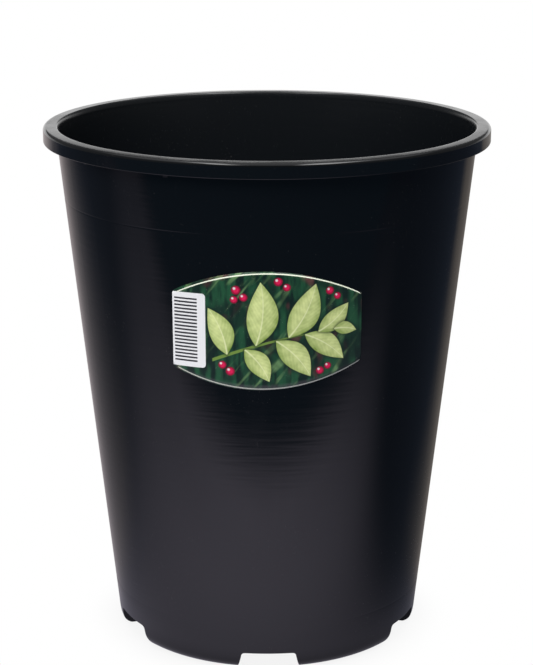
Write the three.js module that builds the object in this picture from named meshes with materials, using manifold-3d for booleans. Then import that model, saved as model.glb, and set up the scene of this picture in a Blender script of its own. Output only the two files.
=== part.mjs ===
// A deep round nursery pot, moulded in one piece from thin black plastic,
// with an adhesive film label on its front. Millimetres, +Z up.
// The origin is on the ground at the middle of the base, and the front is -Y.

import * as THREE from 'three';
import { mergeVertices } from 'three/addons/utils/BufferGeometryUtils.js';
import Module from 'manifold-3d';

const wasm = await Module();
wasm.setup();

// Driving dimensions of the pot
const height = 223;
const rimRadius = 95;
const wallBaseRadius = 65.8;
const wallTopRadius = 89.9;
const wallThickness = 1.3;
const floorThickness = 1.6;
const cornerRadius = 6;

// Rim: a flat top with a round outer edge, turned down into a skirt
const rimDepth = 6.3;
const skirtThickness = 1.5;
const rimTopThickness = 1.6;
const outerEdgeRadius = 1.4;
const skirtLipRadius = 0.5;
const innerLipRadius = 1.1;

// Webs that stiffen the skirt from below, set in pairs
const webPairs = 9;
const webSpread = 11;
const webThickness = 1.2;
const webSetback = 1.2;

// Base: straight channels that cross under it leave flat feet between them
const channelAngles = [0, 64.3, -64.3];
const channelDepths = [7.8, 8.8, 8.8];
const channelTurn = 0.6;
const channelHalfWidth = 13;
const channelDraft = 0.22;
const channelRounding = 1.6;

// Drain holes through the roofs of the channels
const drainRadius = 5;
const drainCircle = 45;
const centreDrainRadius = 7;

// Label: a barrel-shaped film, a little taller at its left end
const labelHalfWidth = 37.7;
const labelTop = { left: 168.5, middle: 178.3, right: 167.2 };
const labelBottom = { left: 136, middle: 128.3, right: 138.8 };
const labelGap = 0.3;
const labelThickness = 0.3;

// Fineness of the round shapes, and the overrun that lets a cut go clean through
const turns = 96;
const cornerSteps = 4;
const edgeSteps = 2;
const drainSides = 24;
const labelArcSteps = 14;
const weldDistance = 1e-4;
const overrun = 2;

const plastic = new THREE.MeshStandardMaterial({ color: 0x17181b, roughness: 0.42, metalness: 0 });
const film = new THREE.MeshStandardMaterial({ color: 0x2f5a32, roughness: 0.5, metalness: 0 });

const degree = Math.PI / 180;
const taper = (wallTopRadius - wallBaseRadius) / height;
const taperAngle = Math.atan(taper);
const webHeight = rimDepth - webSetback - rimTopThickness / 2;

// Radius of the wall's outer face at a height, or of a surface that stands proud of it
function wallRadius(z, proud = 0) {
  return wallBaseRadius + taper * z + proud / Math.cos(taperAngle);
}

// Points on an arc, in degrees, from its first to its last angle
function arc(x, y, radius, from, to, steps) {
  const points = [];
  for (let i = 0; i <= steps; i += 1) {
    const angle = (from + ((to - from) * i) / steps) * degree;
    points.push(new THREE.Vector2(x + radius * Math.cos(angle), y + radius * Math.sin(angle)));
  }
  return points;
}

// A rounded corner between a level floor and the tapered wall's outer face, or a face behind it
function floorCorner(floor, proud, radius) {
  const z = floor + radius;
  const x = wallRadius(z, proud - radius);
  return arc(x, z, radius, -90, -taperAngle / degree, cornerSteps);
}

// Solid of a closed geometry, ready to be joined or cut
function toSolid(geometry) {
  geometry.deleteAttribute('normal');
  geometry.deleteAttribute('uv');
  const merged = mergeVertices(geometry, weldDistance);
  return new wasm.Manifold(new wasm.Mesh({
    numProp: 3,
    vertProperties: new Float32Array(merged.attributes.position.array),
    triVerts: new Uint32Array(merged.index.array),
  }));
}

// Named mesh of a finished solid
function toMesh(name, solid, material) {
  const { vertProperties, triVerts } = solid.getMesh();
  const geometry = new THREE.BufferGeometry();
  geometry.setAttribute('position', new THREE.BufferAttribute(vertProperties, 3));
  geometry.setIndex(new THREE.BufferAttribute(triVerts, 1));
  geometry.computeVertexNormals();
  const mesh = new THREE.Mesh(geometry, material);
  mesh.name = name;
  return mesh;
}

// Solid turned about the Z axis, with its first column of points at the front
function turned(profile) {
  return toSolid(new THREE.LatheGeometry(profile, turns).rotateX(90 * degree));
}

// The pot's outside with its rim, filled to the top
function outerSolid() {
  const skirtInner = rimRadius - skirtThickness;
  const skirtBottom = height - rimDepth;
  const rimUnderside = height - rimTopThickness;
  const lipCentre = skirtInner + skirtLipRadius;
  const edgeCentre = rimRadius - outerEdgeRadius;
  return turned([
    new THREE.Vector2(0, 0),
    ...floorCorner(0, 0, cornerRadius),
    new THREE.Vector2(wallRadius(rimUnderside), rimUnderside),
    new THREE.Vector2(skirtInner, rimUnderside),
    ...arc(lipCentre, skirtBottom + skirtLipRadius, skirtLipRadius, -180, -90, edgeSteps),
    ...arc(rimRadius - skirtLipRadius, skirtBottom + skirtLipRadius, skirtLipRadius, -90, 0, edgeSteps),
    ...arc(edgeCentre, height - outerEdgeRadius, outerEdgeRadius, 0, 90, edgeSteps),
    new THREE.Vector2(0, height),
  ]);
}

// The space inside the pot, up past the rounded inner lip
function innerSpace() {
  const lipRadius = wallRadius(height, -wallThickness) + innerLipRadius;
  return turned([
    new THREE.Vector2(0, floorThickness),
    ...floorCorner(floorThickness, -wallThickness, cornerRadius - floorThickness),
    ...arc(lipRadius, height - innerLipRadius, innerLipRadius, 180, 90, edgeSteps),
    new THREE.Vector2(lipRadius, height + overrun),
    new THREE.Vector2(0, height + overrun),
  ]);
}

// One channel right across the base, or the raised floor over it when grown by the floor's thickness
function channel(depth, grown) {
  const roof = depth + grown;
  const rounding = channelRounding + grown;
  const halfWidth = (z) => channelHalfWidth + grown - channelDraft * z;
  const shape = new THREE.Shape();
  shape.moveTo(-halfWidth(-overrun), -overrun);
  shape.lineTo(halfWidth(-overrun), -overrun);
  shape.lineTo(halfWidth(roof - rounding), roof - rounding);
  shape.quadraticCurveTo(halfWidth(roof), roof, halfWidth(roof) - rounding, roof);
  shape.lineTo(rounding - halfWidth(roof), roof);
  shape.quadraticCurveTo(-halfWidth(roof), roof, -halfWidth(roof - rounding), roof - rounding);
  shape.closePath();
  const length = 2 * (wallBaseRadius + cornerRadius);
  const options = { depth: length, bevelEnabled: false, curveSegments: edgeSteps };
  const geometry = new THREE.ExtrudeGeometry(shape, options);
  return toSolid(geometry.translate(0, 0, -length / 2).rotateX(90 * degree));
}

// All the channels, turned to their places and joined
function channels(grown) {
  const placed = channelAngles.map((angle, i) => (
    channel(channelDepths[i], grown).rotate([0, 0, angle + channelTurn])
  ));
  return wasm.Manifold.union(placed);
}

// Upright plug that makes one drain hole
function drainPlug(radius, x, y) {
  const middle = Math.max(...channelDepths);
  const plug = new THREE.CylinderGeometry(radius, radius, 2 * middle, drainSides);
  return toSolid(plug.rotateX(90 * degree).translate(x, y, middle));
}

// One drain hole in the middle, and one near each end of each channel
function drains() {
  const plugs = [drainPlug(centreDrainRadius, 0, 0)];
  for (const channelAngle of channelAngles) {
    const angle = (channelAngle + channelTurn) * degree;
    for (const side of [-drainCircle, drainCircle]) {
      plugs.push(drainPlug(drainRadius, -side * Math.sin(angle), side * Math.cos(angle)));
    }
  }
  return wasm.Manifold.union(plugs);
}

// The webs under the rim, each let into the wall, the skirt and the rim's top
function rimWebs() {
  const low = height - rimDepth + webSetback;
  const inner = wallRadius(height - rimDepth) - wallThickness / 2;
  const outer = rimRadius - skirtThickness / 2;
  const webs = [];
  for (let pair = 0; pair < webPairs; pair += 1) {
    for (const side of [-webSpread / 2, webSpread / 2]) {
      const web = new THREE.BoxGeometry(webThickness, outer - inner, webHeight);
      web.translate(0, -(inner + outer) / 2, low + webHeight / 2);
      webs.push(toSolid(web).rotate([0, 0, ((pair + 0.5) * 360) / webPairs + side]));
    }
  }
  return wasm.Manifold.union(webs);
}

function makePot() {
  const hollow = innerSpace().subtract(channels(floorThickness));
  const shell = outerSolid().subtract(channels(0)).subtract(hollow);
  return toMesh('pot', shell.add(rimWebs()).subtract(drains()), plastic);
}

// Points along the arc through a label edge's two ends and its middle
function labelEdge(edge, from, to) {
  const slope = (edge.right - edge.left) / (2 * labelHalfWidth);
  const chordMiddle = (edge.left + edge.right) / 2;
  const rise = edge.middle - chordMiddle;
  const radius = (labelHalfWidth ** 2 + rise ** 2) / (2 * Math.abs(rise));
  const points = [];
  for (let i = 0; i <= labelArcSteps; i += 1) {
    const x = from + ((to - from) * i) / labelArcSteps;
    const bulge = Math.sqrt(radius ** 2 - x ** 2) - (radius - Math.abs(rise));
    points.push(new THREE.Vector2(x, chordMiddle + slope * x + Math.sign(rise) * bulge));
  }
  return points;
}

function makeLabel() {
  const back = (z) => new THREE.Vector2(wallRadius(z, labelGap), z);
  const face = (z) => new THREE.Vector2(wallRadius(z, labelGap + labelThickness), z);
  const low = labelBottom.middle - overrun;
  const high = labelTop.middle + overrun;
  const sleeve = turned([back(low), face(low), face(high), back(high), back(low)]);
  const outline = new THREE.Shape([
    ...labelEdge(labelBottom, -labelHalfWidth, labelHalfWidth),
    ...labelEdge(labelTop, labelHalfWidth, -labelHalfWidth),
  ]);
  const block = new THREE.ExtrudeGeometry(outline, { depth: rimRadius, bevelEnabled: false });
  return toMesh('label', sleeve.intersect(toSolid(block.rotateX(90 * degree))), film);
}

const part = new THREE.Group();
part.add(makePot());
part.add(makeLabel());

export default part;
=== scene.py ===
"""A deep black nursery pot with a film label on its front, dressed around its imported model.

Metres, +Z up, in the model's own frame: the origin is on the ground at the middle of the base, and
the label faces -Y. An azimuth is measured about Z from the front, positive towards +X.
"""

import logging
import math
from collections.abc import Callable
from dataclasses import dataclass, field
from enum import Enum

import bmesh
import bpy
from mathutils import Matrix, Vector
from mathutils.geometry import delaunay_2d_cdt


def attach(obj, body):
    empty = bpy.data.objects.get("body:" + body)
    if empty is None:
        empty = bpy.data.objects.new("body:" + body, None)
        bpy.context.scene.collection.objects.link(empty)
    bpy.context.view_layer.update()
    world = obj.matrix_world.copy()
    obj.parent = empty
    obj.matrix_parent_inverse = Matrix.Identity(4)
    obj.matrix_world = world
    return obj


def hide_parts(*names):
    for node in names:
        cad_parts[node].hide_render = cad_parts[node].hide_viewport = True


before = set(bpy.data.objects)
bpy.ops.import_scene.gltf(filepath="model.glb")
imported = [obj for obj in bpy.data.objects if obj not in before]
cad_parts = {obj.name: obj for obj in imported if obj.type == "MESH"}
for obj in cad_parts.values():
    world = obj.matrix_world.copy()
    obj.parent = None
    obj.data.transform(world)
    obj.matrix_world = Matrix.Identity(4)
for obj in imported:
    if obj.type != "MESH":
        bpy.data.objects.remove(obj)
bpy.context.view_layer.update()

LOG = logging.getLogger("nursery_pot")
MM = 0.001
ROOT = "root"
Colour = tuple[float, float, float, float]
Pair = tuple[float, float]
Triple = tuple[float, float, float]
Section = list[Pair]
Level = Triple
Vert = bmesh.types.BMVert
Socket = bpy.types.NodeSocket
NOISE_LIMITS = (0.3, 0.7)


def grey(value: float) -> Colour:
    """Opaque neutral colour of one linear value."""
    return (value, value, value, 1.0)


def arc(x: float, z: float, radius: float, start: float, end: float, steps: int) -> Section:
    """Points of a section round a centre at (x, z), from one angle to another in degrees."""
    angles = [math.radians(start + (end - start) * i / steps) for i in range(steps + 1)]
    return [(x + radius * math.cos(a), z + radius * math.sin(a)) for a in angles]


def smooth(value: float, low: float, high: float) -> float:
    """Share from 0 to 1, with soft ends, as a value passes between two limits."""
    share = min(max((value - low) / (high - low), 0.0), 1.0)
    return share * share * (3 - 2 * share)


def around(radius: float, azimuth: float, z: float) -> Vector:
    """Point at a radius, an azimuth in degrees and a height."""
    turn = math.radians(azimuth)
    return Vector((radius * math.sin(turn), -radius * math.cos(turn), z))


def wrapped(azimuth: float) -> float:
    """The same azimuth, between -180 and 180."""
    return (azimuth + 180) % 360 - 180


def enclosed(spot: Vector, sides: list[tuple[Vector, Vector]]) -> bool:
    """Whether a spot in plan lies inside a loop and in none of its holes.

    Args:
        spot: The spot.
        sides: The two ends of each side of the loop and of the holes.

    Returns:
        True if a line from the spot towards +X crosses an odd number of the sides.
    """
    crossings = 0
    for a, b in sides:
        if (a.y > spot.y) != (b.y > spot.y):
            crossings += spot.x < a.x + (b.x - a.x) * (spot.y - a.y) / (b.y - a.y)
    return crossings % 2 == 1


class Draft:
    """A mesh under construction, whose plates have points a few millimetres apart."""

    plate_pitch: float = 3.0
    closeness: float = 1e-6

    def __init__(self) -> None:
        """Start with no points and no faces."""
        self.mesh = bmesh.new()

    def points(self, places: list[Vector]) -> list[Vert]:
        """Add one vertex at each place."""
        return [self.mesh.verts.new(place) for place in places]

    def bridge(self, low: list[Vert], high: list[Vert]) -> None:
        """Join two closed loops of equal length with a band of quads.

        Args:
            low: First loop, counter-clockwise as seen from above for a face that looks outward.
            high: Second loop, in the same order.
        """
        for i in range(len(low)):
            after = (i + 1) % len(low)
            self.mesh.faces.new((low[i], low[after], high[after], high[i]))

    def plate(self, loops: list[list[Vert]], up: bool,
              height: Callable[[float, float], float]) -> None:
        """Fill a nearly level area that has holes with small triangles.

        Args:
            loops: The outer loop first, then each hole's loop.
            up: Whether the plate's faces look up.
            height: Gives the plate's height at a place in plan.
        """
        verts = [vert for loop in loops for vert in loop]
        outline = [vert.co.xy / MM for vert in verts]
        edges = []
        for loop in loops:
            first = len(edges)
            edges += [(first + i, first + (i + 1) % len(loop)) for i in range(len(loop))]
        sides = [(outline[a], outline[b]) for a, b in edges]
        spare = self.spare_spots(outline, sides)
        for x, y in spare:
            verts += self.points([Vector((x * MM, y * MM, height(x * MM, y * MM)))])
        made = delaunay_2d_cdt([*outline, *spare], edges, [], 0, self.closeness)
        spots, _, faces, sources = made[:4]
        for corners in faces:
            a, b, c = (spots[i] for i in corners)
            if enclosed((a + b + c) / 3, sides):
                found = [verts[sources[i][0]] for i in corners]
                rises = (b - a).cross(c - a) > 0
                self.mesh.faces.new(found if rises == up else found[::-1])

    def spare_spots(self, outline: list[Vector], sides: list[tuple[Vector, Vector]]) -> list[Vector]:
        """Lay an even grid of spots over a plate, clear of its outline.

        Args:
            outline: Corners of the plate and of its holes, in plan and in millimetres.
            sides: The two ends of each side between them.

        Returns:
            The spots, in millimetres.
        """
        pitch = self.plate_pitch
        steps = math.ceil(max(corner.length for corner in outline) / pitch)
        spots = []
        for i in range(-steps, steps + 1):
            for j in range(-steps, steps + 1):
                spot = Vector((i * pitch, j * pitch))
                clear = min((spot - corner).length for corner in outline) > pitch / 2
                if clear and enclosed(spot, sides):
                    spots.append(spot)
        return spots

    def finished(self, name: str) -> bpy.types.Object:
        """Turn the draft into an object in the scene.

        Args:
            name: Name of the object.

        Returns:
            The new object, with its mesh in the model's frame.
        """
        data = bpy.data.meshes.new(name)
        self.mesh.to_mesh(data)
        self.mesh.free()
        data.shade_smooth()
        piece = bpy.data.objects.new(name, data)
        bpy.context.scene.collection.objects.link(piece)
        return piece


class Desk:
    """Short forms for laying out the nodes of one tree."""

    def __init__(self, tree: bpy.types.NodeTree) -> None:
        """Work on a tree."""
        self.tree = tree

    def node(self, kind: str, **values: object) -> bpy.types.Node:
        """Add a node.

        Args:
            kind: Blender's name for the node, without its "ShaderNode".
            **values: Settings of the node itself.

        Returns:
            The new node.
        """
        prefix = "Node" if kind in ("GroupInput", "GroupOutput") else "ShaderNode"
        made = self.tree.nodes.new(prefix + kind)
        for name, value in values.items():
            setattr(made, name, value)
        return made

    def feed(self, socket: Socket, value: object) -> None:
        """Link a socket into an input, or set the input's own value.

        Args:
            socket: The input.
            value: The socket to link, or the value.
        """
        if isinstance(value, Socket):
            self.tree.links.new(value, socket)
        else:
            socket.default_value = value

    def math(self, operation: str, *terms: object, clamp: bool = False) -> Socket:
        """Result of one Math node.

        Args:
            operation: The node's operation.
            *terms: Sockets or numbers, in the node's order.
            clamp: Whether the result stays within 0 and 1.

        Returns:
            The node's output.
        """
        made = self.node("Math", operation=operation, use_clamp=clamp)
        for i, term in enumerate(terms):
            self.feed(made.inputs[i], term)
        return made.outputs[0]

    def times(self, first: object, second: object) -> Socket:
        """Product of two terms."""
        return self.math("MULTIPLY", first, second)

    def apart(self, first: object, second: object) -> Socket:
        """Absolute difference of two terms."""
        return self.math("ABSOLUTE", self.math("SUBTRACT", first, second))

    def span(self, place: object, other: Triple = (0.0, 0.0, 0.0)) -> Socket:
        """Distance between two places.

        Args:
            place: Socket that gives the first place.
            other: The second place, which is the origin if it isn't given.

        Returns:
            The distance.
        """
        made = self.node("VectorMath", operation="DISTANCE")
        self.feed(made.inputs[0], place)
        self.feed(made.inputs[1], other)
        return made.outputs["Value"]

    def bump(self, shader: bpy.types.Node, height: object, strength: float, depth: float) -> None:
        """Give a shader's surface a fine relief.

        Args:
            shader: The shader.
            height: Height of the relief, from 0 to 1.
            strength: Strength of the relief.
            depth: Depth of the relief.
        """
        made = self.node("Bump")
        self.feed(made.inputs["Strength"], strength)
        self.feed(made.inputs["Distance"], depth)
        self.feed(made.inputs["Height"], height)
        self.feed(shader.inputs["Normal"], made.outputs[0])

    def ramp(self, value: object, low: float, high: float, to_low: float = 0.0,
             to_high: float = 1.0) -> Socket:
        """Smooth change from one value to another as an input passes between two limits.

        Args:
            value: Input socket.
            low: Input at which the change starts.
            high: Input at which the change ends.
            to_low: Result at the start.
            to_high: Result at the end.

        Returns:
            The result.
        """
        made = self.node("MapRange", interpolation_type="SMOOTHSTEP")
        for i, term in enumerate((value, low, high, to_low, to_high)):
            self.feed(made.inputs[i], term)
        return made.outputs[0]

    def mix(self, share: object, first: object, second: object, blend: str = "MIX") -> Socket:
        """Colour between two colours.

        Args:
            share: Share of the second colour.
            first: First colour.
            second: Second colour.
            blend: How the second colour is laid over the first.

        Returns:
            The mixed colour.
        """
        made = self.node("Mix", data_type="RGBA", blend_type=blend)
        self.feed(made.inputs[0], share)
        self.feed(made.inputs[6], first)
        self.feed(made.inputs[7], second)
        return made.outputs[2]

    def noise(self, place: object, scale: float = 1.0, detail: float = 2.0) -> Socket:
        """Soft random value over a place.

        Args:
            place: Socket that gives the place.
            scale: Number of spots to a unit of the place.
            detail: Number of finer layers.

        Returns:
            The value, mostly between 0.3 and 0.7.
        """
        made = self.node("TexNoise")
        self.feed(made.inputs["Vector"], place)
        self.feed(made.inputs["Scale"], scale)
        self.feed(made.inputs["Detail"], detail)
        return made.outputs[0]

    def stretched(self, place: object, scale: Triple) -> Socket:
        """Place with each of its axes scaled.

        Args:
            place: The place.
            scale: Scale of each axis.

        Returns:
            The scaled place.
        """
        made = self.node("VectorMath", operation="MULTIPLY")
        self.feed(made.inputs[0], place)
        self.feed(made.inputs[1], scale)
        return made.outputs[0]

    def parts(self, place: object) -> tuple[Socket, ...]:
        """Split a place into its axes.

        Args:
            place: The place.

        Returns:
            Its X, Y and Z.
        """
        made = self.node("SeparateXYZ")
        self.feed(made.inputs[0], place)
        return tuple(made.outputs)

    def joined(self, x: object, y: object) -> Socket:
        """Join two values into a place whose Z is 0.

        Args:
            x: Its X.
            y: Its Y.

        Returns:
            The place.
        """
        made = self.node("CombineXYZ")
        self.feed(made.inputs[0], x)
        self.feed(made.inputs[1], y)
        return made.outputs[0]


def new_group(name: str, inputs: tuple[str, ...], outputs: tuple[str, ...],
              vectors: tuple[str, ...]) -> bpy.types.NodeTree:
    """Start a shader node group with named sockets.

    Args:
        name: Name of the group.
        inputs: Names of its inputs.
        outputs: Names of its outputs.
        vectors: Names of the sockets that hold a place.

    Returns:
        The group, with no nodes yet.
    """
    group = bpy.data.node_groups.new(name, "ShaderNodeTree")
    for names, way in ((inputs, "INPUT"), (outputs, "OUTPUT")):
        for label in names:
            kind = "Vector" if label in vectors else "Float"
            group.interface.new_socket(label, in_out=way, socket_type="NodeSocket" + kind)
    return group


@dataclass(frozen=True)
class ShelfDust:
    """Fine dust and small rubs that settle on everything that has stood in a shop."""

    name: str = "shelf_dust"
    speck_scale: float = 1500.0
    cloud_scale: float = 26.0
    rub_stretch: Triple = (1500.0, 1500.0, 130.0)
    cloud_limits: Pair = (0.42, 0.66)
    speck_limits: Pair = (0.74, 0.86)
    rub_limits: Pair = (0.76, 0.88)

    def group(self) -> bpy.types.NodeTree:
        """Find or build the group.

        Returns:
            The group: a mask of specks and one of thin upright rubs, each thinned by its share.
        """
        if self.name in bpy.data.node_groups:
            return bpy.data.node_groups[self.name]
        group = new_group(self.name, ("Place", "Speck Share", "Rub Share"), ("Specks", "Rubs"),
                          vectors=("Place",))
        desk = Desk(group)
        given = desk.node("GroupInput").outputs
        made = desk.node("GroupOutput").inputs
        cloud = desk.ramp(desk.noise(given["Place"], self.cloud_scale), *self.cloud_limits)
        speck = desk.noise(given["Place"], self.speck_scale, detail=1.0)
        speck = desk.math("ADD", speck, desk.times(given["Speck Share"], cloud))
        rub = desk.noise(desk.stretched(given["Place"], self.rub_stretch), detail=1.0)
        rub = desk.math("ADD", rub, desk.times(given["Rub Share"], cloud))
        desk.feed(made["Specks"], desk.ramp(speck, *self.speck_limits))
        desk.feed(made["Rubs"], desk.ramp(rub, *self.rub_limits))
        return group

    def laid(self, desk: Desk, place: Socket, specks: float, rubs: float) -> tuple[Socket, Socket]:
        """Place the group in a material.

        Args:
            desk: Desk of the material.
            place: Place on the object, in metres.
            specks: Share of specks.
            rubs: Share of rubs.

        Returns:
            The masks of the specks and of the rubs.
        """
        mark = desk.node("Group")
        mark.node_tree = self.group()
        desk.feed(mark.inputs["Place"], place)
        mark.inputs["Speck Share"].default_value = specks
        mark.inputs["Rub Share"].default_value = rubs
        return mark.outputs["Specks"], mark.outputs["Rubs"]


@dataclass(frozen=True)
class PotPlastic:
    """Satin black moulded polypropylene, duller inside, where the mould's core was, and painted
    lighter inside to stand in for the light that falls into the pot.
    """

    slot: str = "pot_plastic"
    colour: Colour = (0.0021, 0.0027, 0.0036, 1.0)
    # Painted light: a lighter colour for the inside of the pot, standing in for the light that falls
    # into it.
    inside_painted_light_colour: Colour = (0.0042, 0.0053, 0.0067, 1.0)
    dust_colour: Colour = (0.022, 0.022, 0.022, 1.0)
    roughness: float = 0.09
    roughness_spread: Pair = (-0.02, 0.05)
    inside_roughness: float = 0.26
    dust_roughness: float = 0.3
    speck_share: float = 0.06
    rub_share: float = 0.03
    rub_strength: float = 0.4
    flow_stretch: Triple = (90.0, 90.0, 12.0)
    ripple_stretch: Triple = (40.0, 40.0, 480.0)
    ripple_strength: float = 0.03
    ripple_depth: float = 1 * MM
    lip_blend: Pair = (-0.1 * MM, 0.4 * MM)
    floor_blend: Pair = (8.9 * MM, 9.9 * MM)
    dust: ShelfDust = field(default_factory=ShelfDust)

    def inside(self, desk: Desk, place: Socket, foot: float, taper: float) -> Socket:
        """Mask of the pot's inside.

        Args:
            desk: Desk of the material.
            place: Place on the pot.
            foot: Radius of the middle of the wall's thickness at the ground.
            taper: Growth of that radius with height.

        Returns:
            The mask.
        """
        x, y, z = desk.parts(place)
        reach = desk.math("MULTIPLY_ADD", z, taper, foot)
        room = desk.math("SUBTRACT", reach, desk.span(desk.joined(x, y)))
        within = desk.ramp(room, *self.lip_blend)
        return desk.times(within, desk.ramp(z, *self.floor_blend))

    def made(self, foot: float, taper: float) -> bpy.types.Material:
        """Build the material.

        Args:
            foot: Radius of the middle of the wall's thickness at the ground.
            taper: Growth of that radius with height.

        Returns:
            The material.
        """
        material = bpy.data.materials.new(self.slot)
        material.use_nodes = True
        desk = Desk(material.node_tree)
        shader = material.node_tree.nodes["Principled BSDF"]
        place = desk.node("TexCoord").outputs["Object"]
        inside = self.inside(desk, place, foot, taper)
        specks, rubs = self.dust.laid(desk, place, self.speck_share, self.rub_share)
        marks = desk.math("MAXIMUM", specks, desk.times(rubs, self.rub_strength))
        # Painted light: the inside is mixed to a lighter colour that stands in for the light falling
        # into the pot.
        base = desk.mix(inside, self.colour, self.inside_painted_light_colour)
        desk.feed(shader.inputs["Base Color"], desk.mix(marks, base, self.dust_colour))
        flow = desk.noise(desk.stretched(place, self.flow_stretch))
        spread = [self.roughness + change for change in self.roughness_spread]
        satin = desk.ramp(flow, *NOISE_LIMITS, *spread)
        satin = desk.ramp(inside, 0.0, 1.0, satin, self.inside_roughness)
        dusty = desk.math("MULTIPLY_ADD", marks, self.dust_roughness, satin, clamp=True)
        desk.feed(shader.inputs["Roughness"], dusty)
        ripple = desk.noise(desk.stretched(place, self.ripple_stretch), detail=1.0)
        desk.bump(shader, ripple, self.ripple_strength, self.ripple_depth)
        return material


class Side(Enum):
    """Side of the sprig's stem on which a leaf grows, and the way it bends."""

    UPPER = 1
    LOWER = -1


@dataclass(frozen=True)
class PrintedLeaf:
    """One leaf of the printed sprig, in millimetres on the label."""

    x: float
    angle: float
    length: float
    width: float
    side: Side


@dataclass(frozen=True)
class PrintedBerry:
    """One berry printed on the label, in millimetres on the label."""

    x: float
    y: float
    radius: float


@dataclass(frozen=True)
class LabelFilm:
    """Printed adhesive film: a sprig of leaves on a dark green ground, with a plain white panel.

    Places on the print are in millimetres, along the wall from the front and up from the label's
    middle.
    """

    slot: str = "label_film"
    unit: float = 100.0
    roughness: float = 0.34
    roughness_spread: float = 0.04
    dust_roughness: float = 0.25
    speck_share: float = 0.05
    rub_share: float = 0.03
    mark_strength: float = 0.5
    cockle_scale: float = 0.16
    cockle_strength: float = 0.12
    cockle_depth: float = 0.1 * MM
    dark_ground: Colour = (0.004, 0.016, 0.012, 1.0)
    mid_ground: Colour = (0.016, 0.080, 0.036, 1.0)
    light_ground: Colour = (0.16, 0.30, 0.12, 1.0)
    rust_ground: Colour = (0.15, 0.045, 0.05, 1.0)
    stem_colour: Colour = (0.16, 0.26, 0.05, 1.0)
    leaf_colour: Colour = (0.16, 0.27, 0.03, 1.0)
    pale_leaf_colour: Colour = (0.72, 0.80, 0.34, 1.0)
    rib_colour: Colour = (0.84, 0.88, 0.52, 1.0)
    berry_colour: Colour = (0.72, 0.012, 0.085, 1.0)
    shade_colour: Colour = (0.20, 0.004, 0.025, 1.0)
    line_colour: Colour = (0.86, 0.90, 0.74, 1.0)
    white: Colour = (0.86, 0.86, 0.86, 1.0)
    bar_colour: Colour = (0.022, 0.022, 0.026, 1.0)
    dust_colour: Colour = (0.30, 0.30, 0.28, 1.0)
    blade_stretch: Triple = (0.24, 0.05, 1.0)
    leaning_stretch: Triple = (0.26, 0.045, 1.0)
    leaning_turn: float = 38.0
    warm_stretch: Triple = (0.13, 0.07, 1.0)
    dark_scale: float = 0.08
    mid_blend: Pair = (0.4, 0.6)
    rust_blend: tuple[float, ...] = (0.58, 0.7, 0.0, 0.6)
    light_blend: tuple[float, ...] = (0.54, 0.7, 0.0, 0.8)
    dark_blend: tuple[float, ...] = (0.48, 0.62, 0.0, 0.75)
    stem_rise: Triple = (-4.9, 0.28, -0.0035)
    stem_left: Pair = (-22.4, -21.8)
    stem_right: Pair = (27.6, 28.2)
    stem_taper: tuple[float, ...] = (-26.0, 28.0, 0.75, 0.3)
    stem_edge: Pair = (-0.1, 0.15)
    leaf_bend: float = -0.28
    leaf_swell: Pair = (-1.6, 4.8)
    leaf_edge: Pair = (-0.08, 0.22)
    leaf_shade: tuple[float, ...] = (-1.8, 0.4, 0.0, 0.7)
    leaf_tone: float = -0.3
    rim_tone: Triple = (0.0, 3.0, 0.36)
    side_tone: Triple = (-0.9, 0.9, 0.16)
    tip_tone: float = 0.38
    vein_tone: float = 0.08
    soft_tone: float = 0.8
    soft_scale: float = 0.32
    rib_taper: Pair = (-0.3, 0.36)
    rib_edge: float = 0.14
    rib_strength: float = 0.6
    vein_slant: float = 1.25
    vein_pitch: float = 2.7
    berry_core: float = 0.35
    gleam_reach: Pair = (0.12, 0.42)
    gleam_strength: float = 0.85
    print_edge: float = 0.1
    fine_edge: float = 0.05
    panel_right: float = -24.9
    panel_top: float = 14.9
    panel_bottom: float = -16.6
    panel_corner: float = 1.4
    bars_left: float = -38.3
    bars_right: float = -28.4
    bar_count: int = 19
    bar_share: float = 0.5
    bars_margin: float = 4.4
    line_width: float = 0.5
    line_edge: float = 0.12
    line_start: Pair = (-37.4, -36.4)
    upper_line: Pair = (0.85, -0.017)
    lower_line: Pair = (0.5, -0.008)
    dust: ShelfDust = field(default_factory=ShelfDust)
    leaves: tuple[PrintedLeaf, ...] = (
        PrintedLeaf(-16.0, 112, 21.0, 10.0, Side.UPPER),
        PrintedLeaf(-9.0, -54, 17.0, 9.0, Side.LOWER),
        PrintedLeaf(-4.5, 86, 27.0, 12.5, Side.UPPER),
        PrintedLeaf(3.5, -48, 21.0, 10.5, Side.LOWER),
        PrintedLeaf(8.5, 64, 25.0, 11.5, Side.UPPER),
        PrintedLeaf(15.0, -35, 20.0, 9.5, Side.LOWER),
        PrintedLeaf(20.5, 42, 17.0, 8.0, Side.UPPER),
        PrintedLeaf(27.0, -8, 10.0, 5.4, Side.LOWER),
    )
    berries: tuple[PrintedBerry, ...] = (
        PrintedBerry(-12.4, 17.2, 1.9),
        PrintedBerry(-9.4, 14.2, 1.7),
        PrintedBerry(-13.2, 13.2, 1.6),
        PrintedBerry(4.4, 20.8, 1.8),
        PrintedBerry(7.8, 18.4, 1.6),
        PrintedBerry(25.2, 16.4, 1.7),
        PrintedBerry(28.4, 14.0, 1.5),
        PrintedBerry(-18.0, -14.6, 1.7),
        PrintedBerry(-14.8, -17.2, 1.9),
        PrintedBerry(21.4, -17.2, 1.7),
        PrintedBerry(24.6, -15.4, 1.5),
    )

    def stem_height(self, x: float) -> float:
        """Height of the sprig's stem at a distance to the right of the middle."""
        start, slope, sag = self.stem_rise
        return start + slope * x + sag * x * x

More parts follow.
